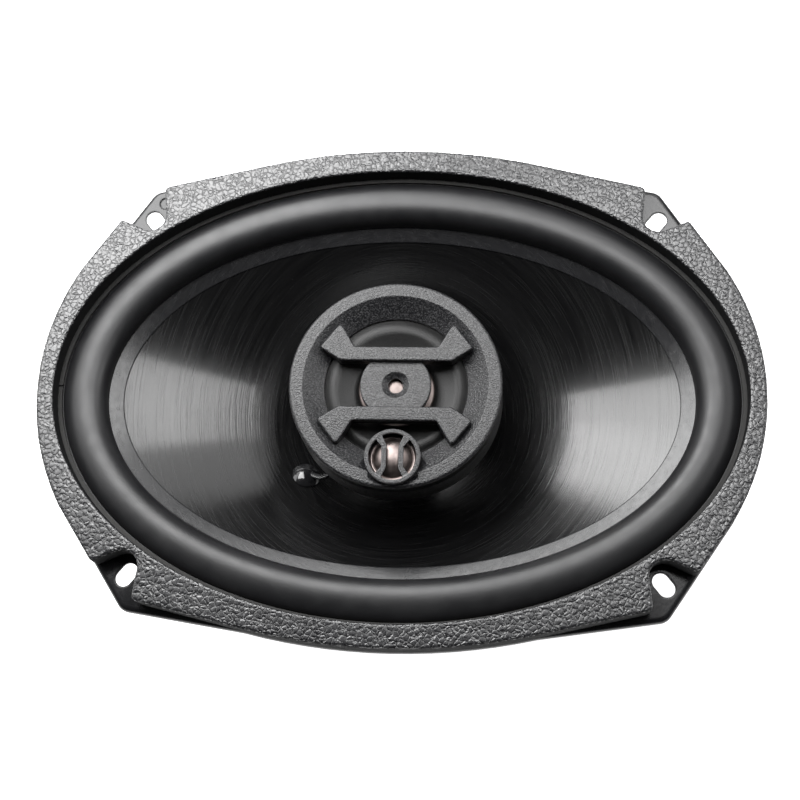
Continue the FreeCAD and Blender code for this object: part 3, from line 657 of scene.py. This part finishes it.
def gasket_skin(material, side_material):
    """The gasket as a fine mesh with its embossed grain pressed in."""
    skin = bpy.data.objects.new("pebbled_gasket", NODES["front_gasket"].data.copy())
    bpy.context.scene.collection.objects.link(skin)
    remesh = skin.modifiers.new("even mesh", "REMESH")
    remesh.mode = "VOXEL"
    remesh.voxel_size = 0.45 * MM
    remesh.use_smooth_shade = True
    settle(skin)
    work = bmesh.new()
    work.from_mesh(skin.data)
    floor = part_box("front_gasket")[0].z + 0.3 * MM
    hidden = [face for face in work.faces if face.normal.z < -0.9 and face.calc_center_median().z < floor]
    bmesh.ops.delete(work, geom=hidden, context="FACES")
    work.to_mesh(skin.data)
    work.free()
    emboss = skin.modifiers.new("grain", "NODES")
    emboss.node_group = grain_nodes()
    settle(skin)
    skin.data.materials.clear()
    skin.data.materials.append(material)
    skin.data.materials.append(side_material)
    for polygon in skin.data.polygons:
        polygon.material_index = 1 if abs(polygon.normal.z) < 0.35 else 0
    skin.data.shade_smooth()
    stand_for(skin, "frame", "front_gasket")


def grain_nodes():
    """Geometry nodes that press the leather grain into a mesh."""
    group = bpy.data.node_groups.new("press_grain", "GeometryNodeTree")
    group.interface.new_socket("Geometry", in_out="INPUT", socket_type="NodeSocketGeometry")
    group.interface.new_socket("Geometry", in_out="OUTPUT", socket_type="NodeSocketGeometry")
    graph = Graph(group)
    source = graph.node("NodeGroupInput")
    place = graph.node("GeometryNodeInputPosition").outputs[0]
    normal = graph.node("GeometryNodeInputNormal").outputs[0]
    height = pebble_height(graph, place, 0.5 * GRAIN_DEPTH)
    offset = graph.node("ShaderNodeVectorMath", {0: normal, "Scale": height}, operation="SCALE").outputs[0]
    moved = graph.node("GeometryNodeSetPosition", {"Geometry": source.outputs[0], "Offset": offset})
    graph.node("NodeGroupOutput", {0: moved.outputs[0]})
    return group


def surround_rings():
    """Section of the surround: flat edge, half roll, sloped lip, and back underneath."""
    steps = 36
    width = ROLL_OUT[0] - ROLL_IN[0]
    upper = [(*SURROUND_FLAT, ROLL_FOOT_Z), (ROLL_OUT[0] + 0.4, ROLL_OUT[1] + 0.4, ROLL_FOOT_Z)]
    for index in range(steps + 1):
        share = index / steps
        arch = ROLL_HEIGHT * math.sin(math.pi * share ** ROLL_LEAN) ** 0.8 if 0 < share < 1 else 0.0
        reach = width * (1 - math.cos(math.pi * share)) / 2
        height = ROLL_FOOT_Z + (LIP_TOP_Z - ROLL_FOOT_Z) * share + arch
        upper.append((ROLL_OUT[0] - reach, ROLL_OUT[1] - reach, height))
    fall = (LIP_TOP_Z - CONE_EDGE_Z) / (ROLL_IN[0] - CONE_EDGE[0])
    flat = [(0.25, 0.0), (0.6, 0.0), (1.5, 0.0), (4.3, 0.0)]
    edge = [(4.5, 0.01), (4.58, 0.06), (4.6, 0.16), (4.6, 0.4)]
    lip = []
    for reach, drop in flat + edge:
        lip.append((ROLL_IN[0] - reach, ROLL_IN[1] - reach, LIP_TOP_Z - fall * reach - drop))
    lower = [(a, b, z - SURROUND_SHEET) for a, b, z in reversed(upper + lip[:len(flat)])]
    return upper + lip + lower


def surround(roll, lip):
    """Rubber surround that runs from its clamped edge to the cone."""
    piece = oval_loft("rubber_surround", surround_rings(), 420, roll, lip)
    low = LIP_TOP_Z * MM + 0.1 * MM
    inner = (ROLL_IN[0] + 0.2, ROLL_IN[1] + 0.2)
    for polygon in piece.data.polygons:
        x, y, z = polygon.center
        inside = (x / inner[0]) ** 2 + (y / inner[1]) ** 2 < MM * MM
        polygon.material_index = 1 if inside and z < low else 0

    def share(x, y):
        return ease((roll_reach(x, y) - 0.6) / (ROLL_OUT[0] - ROLL_IN[0] - 1.2))

    flex(piece, "surround", share)


def roll_reach(x, y):
    """How far inside the roll's outer oval a place is, in millimetres."""
    angle = math.atan2(y / ROLL_OUT[1], x / ROLL_OUT[0])
    outer = math.hypot(ROLL_OUT[0] * math.cos(angle), ROLL_OUT[1] * math.sin(angle))
    inner = math.hypot(ROLL_IN[0] * math.cos(angle), ROLL_IN[1] * math.sin(angle))
    here = math.hypot(x, y) / MM
    return (outer - here) / (outer - inner) * (ROLL_OUT[0] - ROLL_IN[0])


def cone_ring(share, drop):
    """Oval of the cone at a share of the way from neck to edge, lowered by drop."""
    a = CONE_NECK_R + (CONE_EDGE[0] - CONE_NECK_R) * share
    b = CONE_NECK_R + (CONE_EDGE[1] - CONE_NECK_R) * share
    z = CONE_NECK_Z + (CONE_EDGE_Z - CONE_NECK_Z) * share ** CONE_FLARE
    return a, b, z - drop


def woofer_cone(material):
    """Thin oval cone, with a shoulder under the surround's lip."""
    steps = 60
    upper = [cone_ring(1 - index / steps, CONE_STEP) for index in range(steps + 1)]
    lower = [cone_ring(index / steps, CONE_SHEET + CONE_STEP) for index in range(steps + 1)]
    slope = (LIP_TOP_Z - CONE_EDGE_Z) / (ROLL_IN[0] - CONE_EDGE[0])
    shoulder = CONE_EDGE_Z - SURROUND_SHEET - 0.02
    rim = [(CONE_EDGE[0] + 3.8, CONE_EDGE[1] + 3.8, shoulder + 3.8 * slope - CONE_SHEET),
           (CONE_EDGE[0] + 4.0, CONE_EDGE[1] + 4.0, shoulder + 4.0 * slope),
           (CONE_EDGE[0] + 0.3, CONE_EDGE[1] + 0.3, shoulder)]
    piece = oval_loft("turned_cone", upper + lower + rim, 420, material)
    stand_for(piece, "woofer_moving", "woofer_cone")


def spider(material):
    """Corrugated cloth between the coil former and the basket's shelf."""
    def height(radius):
        reach = radius - SPIDER_START
        if 0 < reach < SPIDER_PITCH * SPIDER_WAVES:
            return SPIDER_Z + SPIDER_SWING * math.sin(math.pi * reach / SPIDER_PITCH)
        return SPIDER_Z

    radii = [SPIDER_IN + (SPIDER_OUT - SPIDER_IN) * index / 150 for index in range(151)]
    section = [(r, height(r)) for r in radii] + [(r, height(r) - 0.45) for r in reversed(radii)]
    piece = lathe("corrugated_spider", section, material)

    def share(x, y):
        return 1 - ease((math.hypot(x, y) / MM - SPIDER_START) / (SPIDER_PITCH * SPIDER_WAVES))

    flex(piece, "spider", share)


def route(points):
    """Points along one smooth curve through a lead's route."""
    curve = bpy.data.curves.new("route", "CURVE")
    curve.dimensions = "3D"
    spline = curve.splines.new("NURBS")
    spline.points.add(len(points) - 1)
    for knot, (x, y, z) in zip(spline.points, points):
        knot.co = (x * MM, y * MM, z * MM, 1.0)
    spline.order_u = 3
    spline.use_endpoint_u = True
    spline.resolution_u = 16
    holder = bpy.data.objects.new("route", curve)
    bpy.context.scene.collection.objects.link(holder)
    mesh = bpy.data.meshes.new_from_object(holder)
    line = [vert.co.copy() for vert in mesh.vertices]
    bpy.data.objects.remove(holder)
    return line


def twisted_lead(name, points, radius, strands, turn_length, material):
    """Strands laid round each other along a route."""
    line = route(points)
    sides = 10
    strand_radius = radius / (1 + 1 / math.sin(math.pi / strands))
    lay = radius - strand_radius
    verts, faces = [], []
    for strand in range(strands):
        travelled = 0.0
        base = len(verts)
        across = Vector((0.0, 0.0, 1.0))
        for index, here in enumerate(line):
            ahead = line[min(index + 1, len(line) - 1)] - line[max(index - 1, 0)]
            along = ahead.normalized()
            across = (across - along * across.dot(along)).normalized()
            beside = along.cross(across)
            phase = 2 * math.pi * (strand / strands + travelled / (turn_length * MM))
            centre = here + (across * math.cos(phase) + beside * math.sin(phase)) * lay * MM
            for side in range(sides):
                angle = 2 * math.pi * side / sides
                outwards = across * math.cos(angle) + beside * math.sin(angle)
                verts.append(centre + outwards * strand_radius * MM)
            if index + 1 < len(line):
                travelled += (line[index + 1] - here).length
        rows = len(line)
        for row in range(rows - 1):
            for side in range(sides):
                after = (side + 1) % sides
                one, two = base + row * sides, base + (row + 1) * sides
                faces.append((one + side, one + after, two + after, two + side))
        faces.append(tuple(base + side for side in reversed(range(sides))))
        faces.append(tuple(base + (rows - 1) * sides + side for side in range(sides)))
    return mesh_object(name, verts, faces, material)


def leads(sleeve, tinsel):
    """The four leads, each running between its fixed end and the cone."""
    for word, side in (("upper", 1), ("lower", -1)):
        front = [(x, y * side, z) for x, y, z in FRONT_LEAD]
        rear = [(x, y * side, z) for x, y, z in REAR_LEAD]
        sleeved = twisted_lead(word + "_sleeved_lead", front, 1.0, 4, 5.0, sleeve)
        bare = twisted_lead(word + "_tinsel_lead", rear, 0.6, 5, 4.0, tinsel)
        for piece, node, points in ((sleeved, "_module_lead", front[::-1]), (bare, "_rear_lead", rear)):
            start = Vector(points[0]) * MM
            end = Vector(points[-1]) * MM
            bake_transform(piece)
            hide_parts(word + node)


def trim_ring(material):
    """Front ring of the module, with the pocket that the tweeter pod sits in."""
    low, inner, under = 9.0, 32.0, 12.9
    front = [(MODULE_R, low, 0.0), (MODULE_R, MODULE_TOP, 0.9), (MODULE_FLAT_R, MODULE_TOP, 0.45),
             (SLOPE_R, SLOPE_Z, 0.25), (SLOPE_R, SLOPE_Z - 0.5, 0.0)]
    back = [(24.5, SLOPE_Z - 0.5, 0.0), (30.5, under, 0.0), (inner, under, 0.0), (inner, low, 0.0)]
    ring = lathe("module_ring", rounded(front + back), material, segments=256)
    wall, floor, above = POD_R - 0.05, 11.2, 20.0
    plug = [(0.001, floor), (wall, floor), (wall, above), (0.001, above)]
    cutter = lathe("pocket", plug, material, POD, 96)
    pocket = ring.modifiers.new("pocket", "BOOLEAN")
    pocket.operation = "DIFFERENCE"
    pocket.object = cutter
    pocket.solver = "EXACT"
    settle(ring)
    bpy.data.objects.remove(cutter)
    stand_for(ring, "frame", "module_trim_ring")


def midrange_grille(material):
    """Two bars with pointed feet, and the disc between them."""
    outlines = []
    for side in (1, -1):
        half = [(18.0, 7.6, 1.5), (24.7, 12.0, 1.0), (18.2, 20.4, 1.1), (13.4, 12.3, 1.0)]
        outline = rounded(half + [(-x, y, radius) for x, y, radius in reversed(half)], holding=0)
        outlines.append([(x, y * side) for x, y in outline])
    bars = plate("bars", outlines, BAR_FOOT_Z, BAR_TOP, 0.5, material)
    low = DISC_TOP - 1.6
    section = rounded([(DISC_HOLE_R, low, 0.0), (DISC_R, low, 0.0), (DISC_R, DISC_TOP, 0.5),
                       (DISC_SINK_R, DISC_TOP, 0.3), (DISC_HOLE_R, low + 0.4, 0.1)])
    disc = lathe("disc", section, material, segments=128)
    stand_for(join("grille_bars", bars, disc), "frame", "midrange_grille")


def midrange(paper, foil):
    """Paper cone and metallised dome of the midrange."""
    upper = [MID_NECK, (14.0, 7.6), (18.5, 8.95), MID_RIM]
    lower = [(r, z - MID_SHEET) for r, z in reversed(upper)]
    cone = lathe("paper_midrange_cone", upper + lower, paper)
    stand_for(cone, "midrange_moving", "midrange_cone")
    slope = (MID_RIM[1] - MID_NECK[1]) / (MID_RIM[0] - MID_NECK[0])
    low = MID_NECK[1] + (MID_DOME_R - MID_NECK[0]) * slope
    dome = cap("midrange_foil_dome", MID_DOME_R, MID_DOME_RISE, low, foil)
    stand_for(dome, "midrange_moving", "midrange_dome")


def midrange_edge(material):
    """Cloth edge of the midrange, glued to its frame outside and to its cone inside."""
    rim, top = MID_RIM
    held = rim + 0.8
    radii = [rim + 0.2 + 0.1 * index for index in range(8)] + [MID_EDGE_R]
    upper = [(rim, top)] + [(r, MID_EDGE_HIGH) for r in radii]
    lower = [(r, MID_EDGE_LOW) for r in reversed(radii)] + [(rim, top - MID_SHEET)]
    piece = lathe("midrange_cloth_edge", upper + lower, material)

    def share(x, y):
        return 1 - ease((math.hypot(x, y) / MM - rim) / (held - rim))

    flex(piece, "midrange_surround", share)


def cap(name, radius, rise, low, material, centre=(0.0, 0.0)):
    """Thin spherical cap of foil that stands on a circle at height low."""
    ball = (radius * radius + rise * rise) / (2 * rise)
    steps = 24
    outer = []
    for index in range(steps + 1):
        r = radius * (1 - index / steps)
        outer.append((r, low + rise - ball + math.sqrt(ball * ball - r * r)))
    inner = [(r, z - FOIL) for r, z in reversed(outer)]
    return lathe(name, outer + inner, material, centre, 128)


def tweeter(plastic, foil):
    """Dome, and the pod's front ring with its two ribs."""
    dome = cap("tweeter_foil_dome", TWEETER_R, TWEETER_RISE, TWEETER_Z, foil, POD)
    low, high = TWEETER_Z - 0.2, TWEETER_Z + 0.05
    fold = rounded([(5.9, low, 0.0), (7.55, low, 0.0), (7.55, high, 0.05), (6.9, high + 0.2, 0.2),
                    (5.9, high, 0.0)])
    edge = lathe("edge", fold, foil, POD, 128)
    stand_for(join("tweeter_foil_dome", dome, edge), "tweeter_moving", "tweeter_dome")
    front = rounded([(7.5, POD_RING_Z, 0.0), (POD_R, POD_RING_Z, 0.0), (POD_R, POD_TOP, 0.3),
                     (7.5, POD_TOP, 0.2)])
    ring = lathe("ring", front, plastic, POD, 128)
    outlines = []
    for side in (1, -1):
        upper = [(1.9, 3.5), (3.5, 7.0), (5.5, 5.7), (3.5, 3.3)]
        outline = upper + [(x, -y) for x, y in reversed(upper)]
        outlines.append([(x * side + POD[0], y + POD[1]) for x, y in outline])
    ribs = plate("ribs", outlines, POD_RING_Z, POD_TOP - 0.1, 0.2, plastic)
    stand_for(join("tweeter_pod_grille", ring, ribs), "frame", "tweeter_grille")


# ---------------------------------------------------------------- studio

def panel(name, size, radiance, centre, towards):
    """Rectangular soft light of a given brightness."""
    lamp = bpy.data.lights.new(name, "AREA")
    lamp.shape = "RECTANGLE"
    lamp.size, lamp.size_y = size
    lamp.energy = radiance * math.pi * size[0] * size[1]
    holder = bpy.data.objects.new(name, lamp)
    holder.location = centre
    holder.rotation_euler = (Vector(towards) - Vector(centre)).to_track_quat("-Z", "Y").to_euler()
    holder.visible_camera = False
    bpy.context.scene.collection.objects.link(holder)


def floor_material():
    """Pale paper that stays white under the object."""
    f = Finish("pale_floor", Roughness=0.8, Emission_Strength=1.0)
    mottle = f.noise(f.place, 3.0, 3.0)
    f.set("Base Color", f.ramp(mottle, (0.3, (0.84, 0.84, 0.84)), (0.7, (0.88, 0.88, 0.88))))
    f.set("Emission Color", (1.0, 1.0, 1.0, 1.0))
    return f.material


def surroundings():
    """A dim room that looks as pale as the floor where it is seen directly."""
    world = bpy.data.worlds.new("studio")
    world.use_nodes = True
    graph = Graph(world.node_tree)
    seen = graph.node("ShaderNodeLightPath").outputs["Is Camera Ray"]
    shade = graph.remap(seen, 0.0, 1.0, 0.03, 1.0)
    graph.join(shade, world.node_tree.nodes["Background"].inputs["Color"])
    return world


def studio():
    """The floor, six soft panels and the room."""
    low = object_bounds()[0].z - 0.3 * MM
    half = 15.0
    corners = [(-half, -half, low), (half, -half, low), (half, half, low), (-half, half, low)]
    mesh_object("floor", corners, [(0, 1, 2, 3)], floor_material())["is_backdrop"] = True
    panel("key", (0.27, 0.47), 10.2, (-0.165, 0.295, 0.35), (-0.165, 0.295, 0.0))
    panel("fill", (0.13, 0.23), 9.0, (0.095, 0.135, 0.35), (0.095, 0.135, 0.0))
    panel("back left", (0.6, 0.6), 2.6, (-0.60, 0.80, 0.75), (0.0, 0.0, 0.0))
    panel("back right", (0.4, 0.5), 2.4, (0.35, 0.85, 0.75), (0.0, 0.0, 0.0))
    panel("left side", (0.5, 0.4), 3.0, (-0.68, 0.17, 0.35), (0.0, 0.0, 0.0))
    panel("right side", (0.5, 0.4), 3.0, (0.64, 0.17, 0.35), (0.0, 0.0, 0.0))
    bpy.context.scene.world = surroundings()
    bpy.context.scene.view_settings.view_transform = "Standard"


def camera():
    """Above the speaker's lower edge, looking down and a little to the left."""
    lens = bpy.data.cameras.new("camera")
    lens.lens = 65.6
    lens.sensor_width = 36.0
    lens.clip_start = 0.01
    holder = bpy.data.objects.new("camera", lens)
    right = Vector((0.9974, 0.0308, -0.0652))
    back = Vector((0.0713, -0.285, 0.9559))
    up = back.cross(right)
    turn = Matrix((right, up, back)).transposed().to_4x4()
    holder.matrix_world = Matrix.Translation((0.03465, -0.13704, 0.4564)) @ turn
    bpy.context.scene.collection.objects.link(holder)
    bpy.context.scene.camera = holder


# ---------------------------------------------------------------- build

def finishes():
    """Every finish, by its name."""
    makers = (painted_steel, pebbled_rubber, cut_rubber, fibre_card, roll_rubber, lip_rubber, cone_plastic,
              spider_cloth, module_plastic, ferrite, copper_wire, glue, lead_braid, tinsel_wire,
              terminal_card, paper_cone, doped_cloth, rose_foil, capacitor_sleeve)
    slots = {maker.__name__: maker() for maker in makers}
    for name, colour, dull, rough, stroke in (
            ("zinc_steel", (0.62, 0.61, 0.57), (0.42, 0.41, 0.37), 0.26, (1.0, 1.0, 1.0)),
            ("former_foil", (0.80, 0.80, 0.80), (0.62, 0.62, 0.62), 0.18, (1.0, 1.0, 6.0)),
            ("brass_plate", (0.78, 0.73, 0.60), (0.55, 0.46, 0.28), 0.20, (1.0, 5.0, 1.0))):
        slots[name] = metal(name, colour, dull, rough, stroke)
    return slots


slots = finishes()
paint_cad_nodes(slots)
gasket_skin(slots["pebbled_rubber"], slots["cut_rubber"])
surround(slots["roll_rubber"], slots["lip_rubber"])
woofer_cone(slots["cone_plastic"])
spider(slots["spider_cloth"])
leads(slots["lead_braid"], slots["tinsel_wire"])
trim_ring(slots["module_plastic"])
midrange_grille(slots["module_plastic"])
midrange(slots["paper_cone"], slots["rose_foil"])
midrange_edge(slots["doped_cloth"])
tweeter(slots["module_plastic"], slots["rose_foil"])
studio()
camera()
